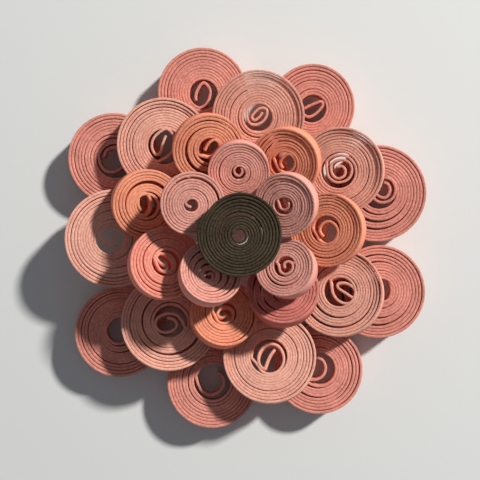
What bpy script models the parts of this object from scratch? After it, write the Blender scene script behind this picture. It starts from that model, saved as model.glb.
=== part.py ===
"""A flower of quilled paper, seen from above as rings of flat round rolls.

Each roll is one strip of paper, wound on edge from its outer end inwards, with an open eye.
The rolls are glued together in rings. The outer ring stands on the table, each further ring
lies on the one before it and leans in towards the middle, and a dark roll closes the top.
Lengths are in millimetres and angles in degrees until the meshes are made.
+Z is up, and the origin lies under the middle of the flower, on the table.
"""

import math
from collections import namedtuple

import bmesh
import bpy
import numpy as np
from mathutils import Euler, Vector

MM = 0.001

# The flower's driving size: from its middle to the far edge of its outer ring
FLOWER_RADIUS = 30.0

# The strips
STRIP_WIDTH = 3.0
CENTRE_STRIP_WIDTH = 2.2
# A turn's wall is two layers of the strip, pressed together
WALL = 0.65
TURN_GAP = 0.3
# The glue line between a roll and what it lies on
GLUE_GAP = 0.3

# Where on a roll its strip's outer end is glued down, round from the side away from the middle
SEAM = 150.0
# A roll's eye takes the strip's loose inner end when it is wider than this many walls
LOOSE_END_ROOM = 2.5

# One roll: the bearing and reach of its middle from the flower's middle, its radius and its
# eye's, how far it leans in, its sideways tilt, and its paper where it isn't its ring's.
# Reach, radius and eye are in percent of the flower's radius.
Roll = namedtuple("Roll", "bearing reach radius eye lean tilt paper", defaults=(0.0, None))

# One ring: the usual paper of its rolls, the strip, and the sides of a turn
Ring = namedtuple("Ring", "name paper width sides rolls")

PAPERS = {
    "dusty_coral": (0.62, 0.27, 0.21),
    "pale_blush": (0.78, 0.40, 0.31),
    "peach_orange": (0.75, 0.29, 0.16),
    "coral_red": (0.76, 0.27, 0.20),
    "dusty_rose": (0.55, 0.21, 0.18),
    "mauve_pink": (0.66, 0.32, 0.26),
    "dark_olive": (0.035, 0.030, 0.022),
}
PAPER_ROUGHNESS = 0.9

RINGS = (
    Ring("outer_roll", "dusty_coral", STRIP_WIDTH, 10, (
        Roll(bearing=104.5, reach=75.7, radius=23.0, eye=7.7, lean=8.0),
        Roll(bearing=60.5, reach=76.3, radius=21.7, eye=6.7, lean=8.0),
        Roll(bearing=17.0, reach=74.3, radius=24.7, eye=6.7, lean=8.0),
        Roll(bearing=338.0, reach=76.7, radius=24.0, eye=6.7, lean=8.0),
        Roll(bearing=300.5, reach=80.0, radius=22.7, eye=7.0, lean=8.0),
        Roll(bearing=259.5, reach=77.0, radius=23.0, eye=8.7, lean=8.0),
        Roll(bearing=219.0, reach=79.0, radius=23.0, eye=7.3, lean=8.0),
        Roll(bearing=148.5, reach=75.7, radius=23.3, eye=8.3, lean=8.0),
    )),
    Ring("second_roll", "pale_blush", STRIP_WIDTH, 10, (
        Roll(bearing=81.0, reach=60.3, radius=23.0, eye=8.0, lean=15.0),
        Roll(bearing=32.5, reach=60.0, radius=21.7, eye=8.7, lean=16.0, tilt=-3.0),
        Roll(bearing=330.0, reach=58.0, radius=22.0, eye=6.7, lean=19.0, tilt=-1.0),
        Roll(bearing=284.0, reach=62.7, radius=23.0, eye=8.7, lean=18.0),
        Roll(bearing=231.5, reach=56.3, radius=24.0, eye=7.7, lean=16.0, tilt=2.0),
        Roll(bearing=181.5, reach=62.7, radius=24.3, eye=8.7, lean=14.0),
        Roll(bearing=130.0, reach=59.0, radius=23.3, eye=8.0, lean=12.0),
    )),
    Ring("third_roll", "peach_orange", STRIP_WIDTH, 8, (
        Roll(bearing=110.0, reach=44.3, radius=17.7, eye=5.7, lean=18.0, tilt=2.0),
        Roll(bearing=58.0, reach=42.0, radius=17.0, eye=5.7, lean=23.0, tilt=-5.0),
        Roll(bearing=3.5, reach=43.3, radius=18.0, eye=6.3, lean=22.0),
        Roll(bearing=258.5, reach=39.7, radius=16.3, eye=5.7, lean=20.0, tilt=-5.0),
        Roll(bearing=308.0, reach=34.0, radius=17.0, eye=4.0, lean=19.0, tilt=-9.0,
             paper="dusty_rose"),
        Roll(bearing=161.5, reach=47.7, radius=17.0, eye=5.7, lean=18.0, tilt=-1.0),
        Roll(bearing=201.0, reach=38.0, radius=17.0, eye=5.7, lean=20.0, tilt=1.0,
             paper="coral_red"),
    )),
    Ring("inner_roll", "mauve_pink", STRIP_WIDTH, 8, (
        Roll(bearing=90.5, reach=30.3, radius=14.7, eye=4.0, lean=17.0),
        Roll(bearing=33.5, reach=25.3, radius=14.7, eye=3.7, lean=21.0, tilt=-1.0),
        Roll(bearing=325.0, reach=26.7, radius=13.7, eye=4.0, lean=22.0),
        Roll(bearing=234.0, reach=22.3, radius=14.7, eye=3.7, lean=22.0),
        Roll(bearing=147.0, reach=26.0, radius=14.7, eye=3.0, lean=10.0, tilt=-1.0),
    )),
    Ring("centre_roll", "dark_olive", CENTRE_STRIP_WIDTH, 10, (
        Roll(bearing=0.0, reach=0.0, radius=19.0, eye=3.0, lean=0.0),
    )),
)


def clear_scene():
    for obj in list(bpy.data.objects):
        bpy.data.objects.remove(obj, do_unlink=True)


def paper_material(name):
    """The named paper's material, made once."""
    material = bpy.data.materials.get(name)
    if material is None:
        material = bpy.data.materials.new(name)
        material.use_nodes = True
        shader = material.node_tree.nodes["Principled BSDF"]
        shader.inputs["Base Color"].default_value = (*PAPERS[name], 1.0)
        shader.inputs["Roughness"].default_value = PAPER_ROUGHNESS
        shader.inputs["Metallic"].default_value = 0.0
        material.diffuse_color = (*PAPERS[name], 1.0)
    return material


def in_millimetres(roll):
    """The roll with its reach and sizes worked out from the flower's radius."""
    percent = FLOWER_RADIUS / 100
    reach, radius, eye = (size * percent for size in (roll.reach, roll.radius, roll.eye))
    return roll._replace(reach=reach, radius=radius, eye=eye)


def wound_strip(roll, sides):
    """The middle line of the wound strip seen from above, from its outer end to its inner end.

    Each turn is round, and steps in under the one outside it over its last side. The outermost
    turn has twice the sides, so that the roll's outline is rounder.
    """
    depth = roll.radius - roll.eye - WALL
    steps_in = max(1, round(depth / (WALL + TURN_GAP)))
    pitch = depth / steps_in
    outermost = roll.radius - WALL / 2
    side = math.tau / sides
    line = []
    for half in range(2 * sides):
        # The last half side is midway in the step to the next turn.
        inset = pitch / 2 if half == 2 * sides - 1 else 0.0
        line.append((half * side / 2, outermost - inset))
    for step in range(1, steps_in + 1):
        for corner in range(sides):
            line.append(((step * sides + corner) * side, outermost - step * pitch))
    if roll.eye > LOOSE_END_ROOM * WALL:
        # The loose inner end springs in and lies across the eye.
        inside = roll.eye - TURN_GAP - WALL / 2
        turned = (steps_in + 1) * math.tau
        line.append((turned, inside))
        line.append((turned + 1.6 * side, inside / 2))
    seam = math.radians(SEAM)
    return [Vector((r * math.cos(seam + a), r * math.sin(seam + a))) for a, r in line]


def strip_edges(line):
    """The two faces of the strip, half a wall to either side of its middle line, mitred."""
    ahead = [(b - a).normalized() for a, b in zip(line, line[1:])]
    before = [ahead[0]] + ahead
    after = ahead + [ahead[-1]]
    left, right = [], []
    for point, come, go in zip(line, before, after):
        along = (come + go).normalized()
        across = Vector((-along.y, along.x)) * (WALL / 2 / along.dot(go))
        left.append(point + across)
        right.append(point - across)
    return left, right


def roll_mesh(name, roll, width, sides):
    """One closed solid: the strip's edge drawn as a flat spiral band, then raised by its width."""
    left, right = strip_edges(wound_strip(roll, sides))
    bm = bmesh.new()
    bottom = -width / 2
    inner = [bm.verts.new((p.x * MM, p.y * MM, bottom * MM)) for p in left]
    outer = [bm.verts.new((p.x * MM, p.y * MM, bottom * MM)) for p in right]
    for i in range(len(inner) - 1):
        bm.faces.new((inner[i], outer[i], outer[i + 1], inner[i + 1]))
    raised = bmesh.ops.extrude_face_region(bm, geom=bm.faces[:])
    top = [v for v in raised["geom"] if isinstance(v, bmesh.types.BMVert)]
    bmesh.ops.translate(bm, verts=top, vec=(0.0, 0.0, width * MM))
    bmesh.ops.recalc_face_normals(bm, faces=bm.faces[:])
    mesh = bpy.data.meshes.new(name)
    bm.to_mesh(mesh)
    bm.free()
    mesh.shade_smooth()
    mesh.set_sharp_from_angle(angle=math.radians(50))
    return mesh


def rim_points(obj, roll):
    """The corners of the roll's outermost turn, top and bottom, in world millimetres."""
    turned = obj.rotation_euler.to_matrix()
    inside = (roll.radius - WALL) * MM
    rim = [turned @ v.co + obj.location for v in obj.data.vertices if v.co.xy.length > inside]
    return np.array(rim) / MM


def seat_height(lower, upper, floor):
    """How far to raise `upper` so that it just lies on `lower`, or `floor` if that is more.

    Both are sets of corners. Any sloping plane that has all of one below it and all of the
    other above it keeps them apart, so the plane that needs the least height is searched for.
    """
    def height(slope):
        push = np.array([slope[0], slope[1], 1.0])
        return (lower @ push).max() - (upper @ push).min()

    slope, step = (0.0, 0.0), 1.0
    best = height(slope)
    while step > 0.002 and best > floor:
        around = [
            (slope[0] + step * math.cos(a), slope[1] + step * math.sin(a))
            for a in np.linspace(0.0, math.tau, 12, endpoint=False)
        ]
        tried = min(around, key=height)
        if height(tried) < best:
            slope, best = tried, height(tried)
        else:
            step /= 2
    return max(best, floor)


def place(ring, number, roll, placed):
    """Makes a roll, leans it in, and lowers it onto the rolls placed so far or the table."""
    name = ring.name if len(ring.rolls) == 1 else f"{ring.name}_{number}"
    obj = bpy.data.objects.new(name, roll_mesh(name, roll, ring.width, ring.sides))
    bpy.context.scene.collection.objects.link(obj)
    obj.data.materials.append(paper_material(roll.paper or ring.paper))
    bearing = math.radians(roll.bearing)
    # Sideways tilt first, then the lean, then the turn to the bearing.
    turn = (math.radians(roll.tilt), -math.radians(roll.lean), bearing)
    obj.rotation_euler = Euler(turn, "XYZ")
    where = Vector((math.cos(bearing), math.sin(bearing), 0.0)) * roll.reach * MM
    obj.location = where
    rim = rim_points(obj, roll)
    height = -rim[:, 2].min()
    for lower in placed:
        height = max(height, seat_height(lower, rim, height - GLUE_GAP) + GLUE_GAP)
    obj.location = where + Vector((0.0, 0.0, height * MM))
    placed.append(rim + np.array([0.0, 0.0, height]))
    return obj


def centre_on_origin(rolls, placed):
    """Moves the flower so that the origin lies under the middle of its outline."""
    corners = np.concatenate(placed)
    middle = (corners.min(axis=0) + corners.max(axis=0)) / 2
    for obj in rolls:
        obj.location -= Vector((middle[0], middle[1], 0.0)) * MM


def build_flower():
    placed = []
    rolls = []
    for ring in RINGS:
        for number, roll in enumerate(ring.rolls, start=1):
            rolls.append(place(ring, number, in_millimetres(roll), placed))
    centre_on_origin(rolls, placed)


clear_scene()
build_flower()
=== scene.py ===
"""The looks of a quilled paper flower: 28 strips of thick soft paper, each wound on edge into
a flat roll with a loose inner end, and glued in rings that lean in on each other.

Sizes are in millimetres and angles in degrees, anticlockwise from +X, until a mesh is placed.
"""

import math

import bmesh
import bpy
from mathutils import Matrix, Vector, noise


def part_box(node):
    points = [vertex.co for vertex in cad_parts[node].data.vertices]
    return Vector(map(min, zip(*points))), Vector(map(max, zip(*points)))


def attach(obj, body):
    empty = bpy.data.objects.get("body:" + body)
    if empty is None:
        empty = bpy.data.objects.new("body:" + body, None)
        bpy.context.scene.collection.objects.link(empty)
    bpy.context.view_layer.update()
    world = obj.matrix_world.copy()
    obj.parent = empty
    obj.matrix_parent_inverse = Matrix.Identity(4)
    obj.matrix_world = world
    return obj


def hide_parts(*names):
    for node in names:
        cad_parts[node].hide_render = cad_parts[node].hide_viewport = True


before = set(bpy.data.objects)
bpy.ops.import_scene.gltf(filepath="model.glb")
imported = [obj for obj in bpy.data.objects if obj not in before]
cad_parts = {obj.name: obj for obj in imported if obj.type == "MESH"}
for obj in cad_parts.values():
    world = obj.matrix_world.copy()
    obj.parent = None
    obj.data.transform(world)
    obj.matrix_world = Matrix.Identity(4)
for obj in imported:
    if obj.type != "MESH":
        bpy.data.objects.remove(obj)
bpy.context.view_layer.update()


# Outer rolls: eight rolls of dusty coral paper, each one strip wound on edge with its outer end
# glued down. They are the lowest ring: each stands on the table by its inner edge, leans in by a
# few degrees, and has the second ring glued on top of it.

MM = 0.001
PAPER = 0.37
STRIP_WIDTH = 3.0
# The fuzz of the cut edges between two turns that touch
TOUCH = 0.006
# From one corner of a strip's line to the next
STEP = 0.26
# Where the outer end is glued down, round from the side away from the flower's middle
SEAM = 150.0
# The share of a turn in which the strip climbs over its glued end, and the turns in which that
# step fades
CLIMB = 0.2
CLIMB_FADES_IN = 4
# The share of a turn in which a slipped turn goes from touching to standing off
SLIP = 0.6


def smooth_step(x):
    """From 0 to 1 with a soft start and end, as x goes from 0 to 1."""
    x = min(max(x, 0.0), 1.0)
    return x * x * (3 - 2 * x)


def wound_line(radius, paper, turns, gaps, start):
    """The middle of the wound strip, from its glued outer end inwards, anticlockwise.

    Each gap is (share of the way in, width, bearing): the turns inside it have slipped away
    from that bearing, so a crescent is open there.
    """
    points = []
    turned = 0.0
    while turned < turns:
        # The step over the glued end is sharp in the outermost turn and fades in the next ones.
        whole = int(turned)
        part = turned - whole
        step = smooth_step((part - (1 - CLIMB)) / CLIMB)
        inset = whole + step + (part - step) * min(whole / CLIMB_FADES_IN, 1.0)
        r = radius - paper / 2 - (paper + TOUCH) * inset
        middle = Vector((0.0, 0.0))
        for share, width, bearing in gaps:
            # The turns slip on the far side from the gap, where they go on touching.
            far = (bearing + 180 - start) % 360 / 360
            slip_at = far + max(0, round(share * turns - far))
            slipped = width / 2 * smooth_step((turned - slip_at) / SLIP + 0.5)
            r -= slipped
            away = math.radians(bearing + 180)
            middle += slipped * Vector((math.cos(away), math.sin(away)))
        angle = math.radians(start + 360 * turned)
        points.append(middle + r * Vector((math.cos(angle), math.sin(angle))))
        turned += STEP / (math.tau * r)
    return points


def through(points):
    """A smooth line through the points, with a corner about every STEP."""
    line = []
    padded = [points[0]] + points + [points[-1]]
    for a, b, c, d in zip(padded, padded[1:], padded[2:], padded[3:]):
        corners = max(1, round((c - b).length / STEP))
        for i in range(corners):
            t = i / corners
            line.append(
                0.5 * (2 * b + (c - a) * t + (2 * a - 5 * b + 4 * c - d) * t ** 2
                       + (3 * b - a - 3 * c + d) * t ** 3)
            )
    return line + [points[-1]]


# How far before its loose end's first point the strip leaves the turns
LEAVES_BEFORE = 25.0
# One more turn goes in where at least this share of its thickness fits
SQUEEZED_IN = 0.4


def strip_line(radius, eye, paper, gaps, start, loose_end):
    """The whole strip's line: the wound turns, and then its loose inner end in the eye."""
    inner = [Vector(p) for p in loose_end]
    slack = Vector((0.0, 0.0))
    for _, width, bearing in gaps:
        away = math.radians(bearing + 180)
        slack += width / 2 * Vector((math.cos(away), math.sin(away)))
    first = inner[0] - slack
    end = math.degrees(math.atan2(first.y, first.x)) - LEAVES_BEFORE
    part_turn = (end - start) % 360 / 360
    depth = radius - paper - eye - sum(width for _, width, _ in gaps) / 2
    turns = int(depth / (paper + TOUCH) - part_turn + (1 - SQUEEZED_IN)) + part_turn
    wound = wound_line(radius, paper, turns, gaps, start)
    return wound[:-1] + through(wound[-1:] + inner)


# How far the strip strays from its line, and how fast along it. Without a seed the vector noise
# would start from the clock.
WOBBLE = 0.008
WOBBLE_PACE = 0.31
noise.seed_set(1)
# How far the cut edges of a roll's turns stand above and below each other, and how fast they
# rise and fall
UNEVEN = 0.1
UNEVEN_PACE = 0.045
# The turns in which the face sinks behind the rim, and the share of that which stays proud
SINKS_IN = 2
PROUD = 0.4


def strip_mesh(name, line, width, radius, sunk, seed):
    """The strip stood on edge along the line, as a sheet without thickness yet.

    The turns inside the outermost one have sunk a little, so that the rim stands proud.
    """
    bm = bmesh.new()
    verts = []
    for i, p in enumerate(line):
        jog = noise.noise_vector(Vector((i * WOBBLE_PACE, seed, 0.5))) * WOBBLE
        lift = UNEVEN * (0.5 + 0.5 * noise.noise(Vector((i * UNEVEN_PACE, seed, 7.5))))
        lift -= sunk * smooth_step((radius - p.length) / (SINKS_IN * PAPER) - PROUD)
        verts.append(bm.verts.new((p.x + jog.x, p.y + jog.y, lift - width / 2)))
    edges = [bm.edges.new(pair) for pair in zip(verts, verts[1:])]
    raised = bmesh.ops.extrude_edge_only(bm, edges=edges)["geom"]
    top = [v for v in raised if isinstance(v, bmesh.types.BMVert)]
    bmesh.ops.translate(bm, verts=top, vec=(0.0, 0.0, width - UNEVEN))
    for face in bm.faces:
        face.smooth = True
    mesh = bpy.data.meshes.new(name)
    bm.to_mesh(mesh)
    bm.free()
    return mesh


def linear(srgb):
    """A colour as it looks on a screen, 0 to 255, as the numbers that the shader takes."""
    return tuple((c / 255) ** 2.2 for c in srgb)


# How many fibre specks, and how many wider patches, go in a metre, and the specks' share
SPECKS = 3000.0
PATCHES = 330.0
SPECK_SHARE = 0.65
# How much darker and paler than the paper the fibres get at full grain, and the palest allowed
DARKER = 0.7
PALER = 0.5
PALEST = 0.97
FIBRE_HEIGHT = 0.06


def paper_material(name, colour, grain, fuzz):
    """Soft uncoated paper: fine specks of paler and darker fibre, and a fuzzy surface."""
    material = bpy.data.materials.new(name)
    material.use_nodes = True
    nodes, links = material.node_tree.nodes, material.node_tree.links
    shader = nodes["Principled BSDF"]
    shader.inputs["Roughness"].default_value = 0.92
    shader.inputs["Specular IOR Level"].default_value = 0.2
    place = nodes.new("ShaderNodeTexCoord")
    specks = nodes.new("ShaderNodeTexNoise")
    specks.inputs["Scale"].default_value = SPECKS
    specks.inputs["Detail"].default_value = 3.0
    patches = nodes.new("ShaderNodeTexNoise")
    patches.inputs["Scale"].default_value = PATCHES
    patches.inputs["Detail"].default_value = 2.0
    shades = nodes.new("ShaderNodeValToRGB")
    base = linear(colour)
    dark, pale = shades.color_ramp.elements
    dark.position = 0.30
    dark.color = tuple(c * (1 - DARKER * grain) for c in base) + (1.0,)
    pale.position = 0.70
    pale.color = tuple(min(c * (1 + PALER * grain), PALEST) for c in base) + (1.0,)
    tinted = nodes.new("ShaderNodeMath")
    tinted.operation = "MULTIPLY"
    tinted.inputs[1].default_value = SPECK_SHARE
    mixed = nodes.new("ShaderNodeMath")
    mixed.operation = "MULTIPLY_ADD"
    mixed.inputs[1].default_value = 1 - SPECK_SHARE
    bump = nodes.new("ShaderNodeBump")
    bump.inputs["Strength"].default_value = fuzz
    bump.inputs["Distance"].default_value = FIBRE_HEIGHT * MM
    links.new(place.outputs["Object"], specks.inputs["Vector"])
    links.new(place.outputs["Object"], patches.inputs["Vector"])
    links.new(specks.outputs["Fac"], tinted.inputs[0])
    links.new(patches.outputs["Fac"], mixed.inputs[0])
    links.new(tinted.outputs["Value"], mixed.inputs[2])
    links.new(mixed.outputs["Value"], shades.inputs["Fac"])
    links.new(shades.outputs["Color"], shader.inputs["Base Color"])
    links.new(specks.outputs["Fac"], bump.inputs["Height"])
    links.new(bump.outputs["Normal"], shader.inputs["Normal"])
    return material


def middle_of(node):
    """The middle of a CAD node's box, in metres."""
    low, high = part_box(node)
    return (low + high) / 2


FLOWER_MIDDLE = middle_of("centre_roll")
SEED_SPREAD = 0.37
# The strip's sides are smoother than its cut edges.
SIDE_GRAIN = 0.12
SIDE_FUZZ = 0.35
CUT_FUZZ = 0.7
EDGE_ROUNDING = 0.02
ROUNDED_CORNERS = 60.0


def make_roll(node, radius, eye, lean, tilt, gaps, loose_end, colour, slot,
              paper=PAPER, width=STRIP_WIDTH, sunk=0.12, rounding=EDGE_ROUNDING, grain=0.5):
    """One finished roll in its CAD node's place, leaning towards the flower's middle.

    The lean lifts its side away from the middle, and the tilt its side anticlockwise from there.
    The points of the loose end are counted from the roll's middle, square on its face.
    """
    middle = middle_of(node)
    out = middle - FLOWER_MIDDLE
    bearing = math.degrees(math.atan2(out.y, out.x)) if out.xy.length > MM else 0.0
    seed = sum(ord(letter) * i for i, letter in enumerate(node, start=1)) * SEED_SPREAD
    line = strip_line(radius, eye, paper, gaps, bearing + SEAM, loose_end)
    mesh = strip_mesh(node + "_strip", line, width, radius, sunk, seed)
    turn = Matrix.Rotation(math.radians(bearing), 4, "Z")
    leant = turn @ Matrix.Rotation(-math.radians(lean), 4, "Y")
    leant = leant @ Matrix.Rotation(math.radians(tilt), 4, "X") @ turn.inverted()
    mesh.transform(Matrix.Translation(middle) @ leant @ Matrix.Scale(MM, 4))
    mesh.materials.append(paper_material(node + "_side", colour, SIDE_GRAIN, SIDE_FUZZ))
    mesh.materials.append(paper_material(node + "_cut_edge", colour, grain, CUT_FUZZ))
    piece = bpy.data.objects.new(node + "_strip", mesh)
    bpy.context.scene.collection.objects.link(piece)
    thickness = piece.modifiers.new("paper_thickness", "SOLIDIFY")
    thickness.thickness = paper * MM
    thickness.offset = 0.0
    thickness.material_offset_rim = 1
    bevel = piece.modifiers.new("soft_edges", "BEVEL")
    bevel.width = rounding * MM
    bevel.segments = 1
    bevel.limit_method = "ANGLE"
    bevel.angle_limit = math.radians(ROUNDED_CORNERS)
    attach(piece, "root")
    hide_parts(node)


OUTER = dict(lean=8.0, tilt=0.0, paper=0.40, colour=(230, 152, 137), slot="dusty_coral_paper")
make_roll(
    "outer_roll_1", radius=6.9, eye=2.15, **OUTER,
    gaps=[(0.3, 0.04, 200), (0.6, 0.05, 60)],
    loose_end=[(0.39, -1.69), (1.00, -0.62), (1.08, 0.69), (0.23, 1.69), (-0.54, 1.08),
               (-1.08, -0.08), (-1.08, -1.00)],
)
make_roll(
    "outer_roll_2", radius=6.5, eye=2.0, **OUTER,
    gaps=[(0.2, 0.08, 60), (0.55, 0.12, 120), (0.8, 0.12, 150)],
    loose_end=[(-1.31, -1.08), (-0.39, -1.46), (0.77, -0.85), (1.69, 0.31), (1.46, 0.85),
               (0.39, 0.54), (-0.69, 0.08), (-1.23, -0.23)],
)
make_roll(
    "outer_roll_3", radius=7.4, eye=2.3, **OUTER,
    gaps=[(0.12, 0.08, 20), (0.35, 0.4, 205), (0.6, 0.45, 215), (0.8, 0.3, 190)],
    loose_end=[(-0.77, -0.31), (0.00, -1.16), (1.23, -1.39), (2.39, -0.77), (2.85, 0.62),
               (2.31, 1.93), (1.23, 2.39), (0.15, 2.00), (-0.39, 0.92), (-0.08, -0.08),
               (0.77, -0.62), (1.54, -0.54), (2.00, 0.46), (1.69, 1.39), (1.08, 1.69)],
)
make_roll(
    "outer_roll_4", radius=7.2, eye=1.75, **OUTER,
    gaps=[(0.1, 0.08, 10), (0.3, 0.45, 195), (0.55, 0.45, 185), (0.8, 0.3, 200)],
    loose_end=[(-0.69, -0.15), (-0.08, -1.16), (0.92, -1.69), (1.85, -1.23), (2.23, 0.15),
               (1.85, 1.54), (0.92, 2.16), (0.08, 1.54)],
)
make_roll(
    "outer_roll_5", radius=6.8, eye=2.1, **OUTER,
    gaps=[(0.15, 0.1, 350), (0.35, 0.12, 30), (0.55, 0.3, 200), (0.8, 0.3, 190)],
    loose_end=[(-0.31, -1.69), (0.54, -1.31), (1.08, -0.54), (1.16, 0.46), (0.69, 1.31),
               (-0.08, 1.62), (-0.69, 1.39)],
)
make_roll(
    "outer_roll_6", radius=6.9, eye=2.55, **OUTER,
    gaps=[(0.5, 0.1, 180), (0.75, 0.15, 200), (0.9, 0.1, 320)],
    loose_end=[(-2.16, -0.46), (-1.46, -1.54), (-0.31, -2.00), (0.92, -1.62), (1.69, -0.54),
               (1.62, 0.69), (0.77, 1.39)],
)
make_roll(
    "outer_roll_7", radius=6.9, eye=2.3, **OUTER,
    gaps=[(0.15, 0.1, 140), (0.4, 0.1, 200), (0.8, 0.25, 350)],
    loose_end=[(-2.31, 0.39), (-2.08, -0.85), (-1.08, -1.77), (0.15, -1.85), (1.16, -1.00),
               (1.23, 0.23)],
)
make_roll(
    "outer_roll_8", radius=7.0, eye=2.4, **OUTER,
    gaps=[(0.2, 0.08, 120), (0.5, 0.1, 200), (0.7, 0.15, 90), (0.85, 0.2, 80)],
    loose_end=[(-2.23, -0.77), (-1.46, -1.77), (-0.23, -2.00), (0.92, -1.39), (1.46, -0.08),
               (1.00, 1.16), (-0.15, 1.77), (-1.23, 1.31), (-1.69, 0.31)],
)


# Second ring: seven rolls of pale blush paper, glued on top of the outer ring and leaning in
# further. Their rims stand proud, and their loose inner ends are folded back into wide loops.

SECOND = dict(sunk=0.25, colour=(250, 174, 155), slot="pale_blush_paper")
make_roll(
    "second_roll_1", radius=6.9, eye=1.9, lean=15.0, tilt=0.0, **SECOND,
    gaps=[(0.12, 0.03, 55), (0.3, 0.06, 20), (0.5, 0.12, 140), (0.85, 0.2, 240)],
    loose_end=[(-1.66, 0.10), (-1.25, -0.82), (-0.30, -1.12), (0.75, -0.55), (1.30, 0.35),
               (1.25, 1.20), (0.45, 1.40), (-0.40, 0.85), (-0.95, 0.00), (-0.55, -0.45),
               (0.20, 0.10), (0.65, 0.75)],
)
make_roll(
    "second_roll_2", radius=6.5, eye=2.1, lean=16.0, tilt=-3.0, **SECOND,
    gaps=[(0.15, 0.04, 30), (0.5, 0.12, 340), (0.9, 0.2, 90)],
    loose_end=[(-1.86, 0.20), (-1.55, -0.90), (-0.60, -1.60), (0.45, -1.60), (1.40, -1.10),
               (1.85, -0.05), (1.60, 1.05), (0.65, 1.65), (-0.50, 1.55), (-1.20, 0.95),
               (-1.25, 0.05), (-0.80, -0.85), (0.00, -1.10), (0.75, -0.65), (0.85, 0.20),
               (0.30, 0.75), (-0.40, 0.60)],
)
make_roll(
    "second_roll_3", radius=6.6, eye=2.1, lean=19.0, tilt=-1.0, **SECOND,
    gaps=[(0.12, 0.1, 45), (0.3, 0.3, 230), (0.6, 0.35, 200), (0.9, 0.1, 20)],
    loose_end=[(-0.97, 0.67), (-0.74, -0.37), (0.00, -1.27), (1.12, -1.71), (2.23, -1.34),
               (2.68, -0.37), (2.23, 0.67), (1.12, 1.34), (0.00, 1.27), (-0.07, 0.67),
               (0.97, -0.07), (2.09, -0.82)],
)
make_roll(
    "second_roll_4", radius=6.9, eye=2.6, lean=18.0, tilt=0.0, **SECOND,
    gaps=[(0.15, 0.1, 10), (0.4, 0.1, 180), (0.65, 0.15, 60)],
    loose_end=[(-1.79, -1.34), (-1.04, -2.38), (0.15, -2.68), (1.34, -2.23), (2.09, -1.04),
               (2.01, 0.37), (1.27, 1.42), (0.15, 1.71), (-0.97, 1.12), (-1.64, -0.15),
               (-1.42, -1.42), (-0.74, -1.94), (-0.37, -1.04), (0.15, 0.07), (0.82, 0.89)],
)
make_roll(
    "second_roll_5", radius=7.2, eye=2.2, lean=16.0, tilt=2.0, **SECOND,
    gaps=[(0.25, 0.12, 165), (0.5, 0.4, 320), (0.65, 0.25, 160), (0.9, 0.2, 85)],
    loose_end=[(1.80, 0.10), (0.95, 1.00), (-0.50, 1.20), (-1.75, 0.65), (-2.18, -0.35),
               (-1.65, -1.30), (-0.50, -1.62), (0.60, -1.22), (1.05, -0.40), (0.60, 0.35),
               (-0.40, 0.62)],
)
make_roll(
    "second_roll_6", radius=7.3, eye=2.1, lean=14.0, tilt=0.0, **SECOND,
    gaps=[(0.15, 0.1, 135), (0.35, 0.4, 350), (0.6, 0.45, 10), (0.85, 0.45, 20)],
    loose_end=[(-2.60, 0.75), (-2.05, 0.00), (-1.45, -0.65), (-0.65, -1.10), (0.30, -1.15)],
)
make_roll(
    "second_roll_7", radius=7.0, eye=2.4, lean=12.0, tilt=0.0, **SECOND,
    gaps=[(0.1, 0.08, 70), (0.25, 0.12, 60), (0.5, 0.12, 215)],
    loose_end=[(0.15, -1.79), (1.04, -1.04), (1.49, 0.15), (1.34, 1.49), (0.45, 2.46),
               (-0.67, 2.01), (-1.64, 0.97), (-1.86, -0.30), (-1.34, -1.34), (-0.60, -1.04),
               (-0.22, 0.30), (0.22, 1.49)],
)


# Third ring: seven smaller rolls, five of peach orange paper, one dusty rose and one coral red.
# They lean in more steeply, and some tilt sideways over a neighbour.

PEACH = dict(colour=(250, 154, 124), slot="peach_orange_paper")
make_roll(
    "third_roll_1", radius=5.3, eye=1.6, lean=18.0, tilt=2.0, **PEACH,
    gaps=[(0.3, 0.15, 50), (0.6, 0.4, 225), (0.8, 0.2, 255)],
    loose_end=[(-0.72, -0.79), (0.29, -0.87), (1.30, -0.07), (1.52, 1.01), (0.79, 1.66),
               (-0.07, 1.16), (-0.65, 0.07)],
)
make_roll(
    "third_roll_2", radius=5.1, eye=1.65, lean=23.0, tilt=-5.0, **PEACH,
    gaps=[(0.25, 0.1, 170), (0.6, 0.12, 160)],
    loose_end=[(-1.16, -0.07), (-0.51, -1.08), (0.58, -1.30), (1.52, -0.58), (1.66, 0.58),
               (0.87, 1.44), (0.00, 0.94), (-0.51, 0.07), (-0.14, -0.72)],
)
make_roll(
    "third_roll_3", radius=5.4, eye=1.75, lean=22.0, tilt=0.0, **PEACH,
    gaps=[(0.3, 0.15, 285), (0.6, 0.12, 200)],
    loose_end=[(-1.44, -0.72), (-0.79, -1.73), (0.29, -2.10), (1.37, -1.52), (1.81, -0.36),
               (1.37, 0.72), (0.36, 1.23), (-0.58, 0.72), (-0.94, -0.22), (-0.43, -1.01)],
)
make_roll(
    "third_roll_4", radius=4.9, eye=1.6, lean=20.0, tilt=-5.0, **PEACH,
    gaps=[(0.2, 0.15, 0), (0.6, 0.15, 190)],
    loose_end=[(-1.38, -0.51), (-0.87, -1.38), (0.14, -1.59), (1.09, -1.01), (1.30, 0.07),
               (0.58, 0.80), (-0.43, 0.58), (-1.01, -0.22), (-0.51, -0.80), (0.43, -0.36)],
)
make_roll(
    "third_roll_5", radius=5.1, eye=1.0, lean=19.0, tilt=-9.0,
    colour=(208, 124, 114), slot="dusty_rose_paper",
    gaps=[(0.25, 0.3, 160), (0.5, 0.35, 150), (0.75, 0.35, 140)],
    loose_end=[(-0.58, -0.80), (-0.20, -0.72), (0.15, -0.62)],
)
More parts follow.
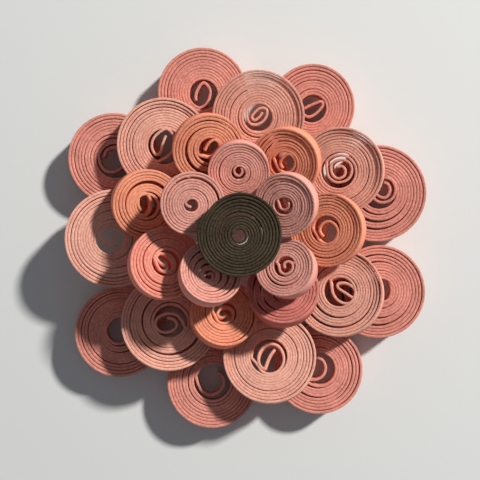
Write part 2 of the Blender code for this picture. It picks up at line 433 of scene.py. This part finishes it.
make_roll(
    "third_roll_6", radius=5.1, eye=1.5, lean=18.0, tilt=-1.0, **PEACH,
    gaps=[(0.3, 0.12, 265), (0.5, 0.45, 60), (0.8, 0.3, 0)],
    loose_end=[(-0.35, -1.55), (0.35, -0.70), (0.40, 0.50), (-0.08, 1.45), (-0.80, 1.70),
               (-1.35, 1.00), (-1.42, -0.10), (-1.00, -0.90)],
)
make_roll(
    "third_roll_7", radius=5.1, eye=1.65, lean=20.0, tilt=1.0,
    colour=(250, 152, 134), slot="coral_red_paper",
    gaps=[(0.3, 0.15, 280), (0.6, 0.15, 200), (0.85, 0.1, 100)],
    loose_end=[(-1.40, -0.14), (-0.91, -0.98), (0.14, -1.33), (0.98, -0.70), (0.77, 0.35),
               (-0.07, 1.12), (-0.98, 1.26), (-1.40, 0.63), (-0.70, -0.14), (0.21, -0.56)],
)


# Inner ring: five rolls of mauve pink paper round the centre, lying on the third ring. Their
# eyes are small, so the loose ends are short hooks.

INNER = dict(paper=0.32, colour=(234, 162, 148), slot="mauve_pink_paper")
make_roll(
    "inner_roll_1", radius=4.4, eye=0.95, lean=17.0, tilt=0.0, **INNER,
    gaps=[(0.5, 0.1, 200), (0.75, 0.12, 310)],
    loose_end=[(-0.70, 0.49), (-0.49, -0.21), (0.07, -0.42), (0.49, 0.14), (0.35, 0.77)],
)
make_roll(
    "inner_roll_2", radius=4.4, eye=1.0, lean=21.0, tilt=-1.0, **INNER,
    gaps=[(0.4, 0.12, 200), (0.7, 0.1, 180)],
    loose_end=[(-0.61, 0.20), (-0.41, -0.41), (0.20, -0.61), (0.75, -0.14), (0.75, 0.48)],
)
make_roll(
    "inner_roll_3", radius=4.1, eye=1.2, lean=22.0, tilt=0.0, **INNER,
    gaps=[(0.5, 0.2, 225), (0.75, 0.12, 265)],
    loose_end=[(-0.82, 0.14), (-0.62, -0.62), (0.14, -1.03), (0.96, -0.62), (1.16, 0.21),
               (0.62, 0.75), (-0.07, 0.48), (0.00, -0.14)],
)
make_roll(
    "inner_roll_4", radius=4.4, eye=0.75, lean=22.0, tilt=0.0, **INNER,
    gaps=[(0.3, 0.4, 50), (0.55, 0.45, 55), (0.8, 0.45, 50)],
    loose_end=[(-1.25, -0.60), (-0.80, -1.30), (-0.05, -1.15), (0.12, -0.50), (-0.30, -0.22),
               (-0.62, -0.50)],
)
make_roll(
    "inner_roll_5", radius=4.4, eye=0.75, lean=10.0, tilt=-1.0, **INNER,
    gaps=[(0.15, 0.3, 45), (0.6, 0.1, 40)],
    loose_end=[(-0.68, -0.27), (-0.20, -0.41)],
)


# Centre roll: one roll of dark olive paper, wound from a narrower strip, closes the flower's
# middle. It lies level on the inner ring, and its turns have opened a little near the eye.

CENTRE_STRIP_WIDTH = 2.2
make_roll(
    "centre_roll", radius=5.65, eye=0.75, lean=0.0, tilt=0.0,
    colour=(72, 62, 49), slot="dark_olive_paper", width=CENTRE_STRIP_WIDTH,
    rounding=0.07, grain=1.0,
    gaps=[(0.25, 0.06, 140), (0.55, 0.22, 110), (0.9, 0.18, 250)],
    loose_end=[(0.47, 0.81), (-0.47, 0.80), (-0.91, 0.10)],
)


# Table, light and camera: a plain pale sheet under the flower, one soft lamp half high beyond its
# upper right and a pale surround. The camera looks straight down from close by.

TABLE_HALF = 400.0
bm = bmesh.new()
bmesh.ops.create_grid(bm, x_segments=1, y_segments=1, size=TABLE_HALF * MM)
table_mesh = bpy.data.meshes.new("table")
bm.to_mesh(table_mesh)
bm.free()
table = bpy.data.objects.new("table", table_mesh)
bpy.context.scene.collection.objects.link(table)
sheet = bpy.data.materials.new("table_sheet")
sheet.use_nodes = True
sheet_shader = sheet.node_tree.nodes["Principled BSDF"]
sheet_shader.inputs["Base Color"].default_value = (0.78, 0.80, 0.80, 1.0)
sheet_shader.inputs["Roughness"].default_value = 0.9
sheet_shader.inputs["Specular IOR Level"].default_value = 0.2
table_mesh.materials.append(sheet)

LAMP_BEARING = 40.0
LAMP_HEIGHT_ANGLE = 36.0
LAMP_DISTANCE = 900.0
LAMP_SIZE = 80.0
LAMP_WATTS = 10.0
lamp_data = bpy.data.lights.new("soft_lamp", "AREA")
lamp_data.shape = "DISK"
lamp_data.size = LAMP_SIZE * MM
lamp_data.energy = LAMP_WATTS
lamp_data.color = (1.0, 0.97, 0.92)
lamp = bpy.data.objects.new("soft_lamp", lamp_data)
across = math.cos(math.radians(LAMP_HEIGHT_ANGLE)) * LAMP_DISTANCE * MM
lamp.location = (
    across * math.cos(math.radians(LAMP_BEARING)),
    across * math.sin(math.radians(LAMP_BEARING)),
    math.sin(math.radians(LAMP_HEIGHT_ANGLE)) * LAMP_DISTANCE * MM,
)
lamp.rotation_euler = (-lamp.location).to_track_quat("-Z", "Y").to_euler()
bpy.context.scene.collection.objects.link(lamp)

world = bpy.data.worlds.new("surround")
world.use_nodes = True
surround = world.node_tree.nodes["Background"]
surround.inputs["Color"].default_value = (0.88, 0.92, 1.0, 1.0)
surround.inputs["Strength"].default_value = 0.17
bpy.context.scene.world = world

CAMERA_HEIGHT = 102.4
CAMERA_ASIDE = (0.08, -0.72)
CAMERA_ANGLE = 41.1
camera_data = bpy.data.cameras.new("camera")
camera_data.sensor_fit = "HORIZONTAL"
camera_data.angle = math.radians(CAMERA_ANGLE)
camera_data.clip_start = 0.005
camera = bpy.data.objects.new("camera", camera_data)
camera.location = (
    FLOWER_MIDDLE.x + CAMERA_ASIDE[0] * MM,
    FLOWER_MIDDLE.y + CAMERA_ASIDE[1] * MM,
    CAMERA_HEIGHT * MM,
)
bpy.context.scene.collection.objects.link(camera)
bpy.context.scene.camera = camera
bpy.context.scene.view_settings.view_transform = "Standard"
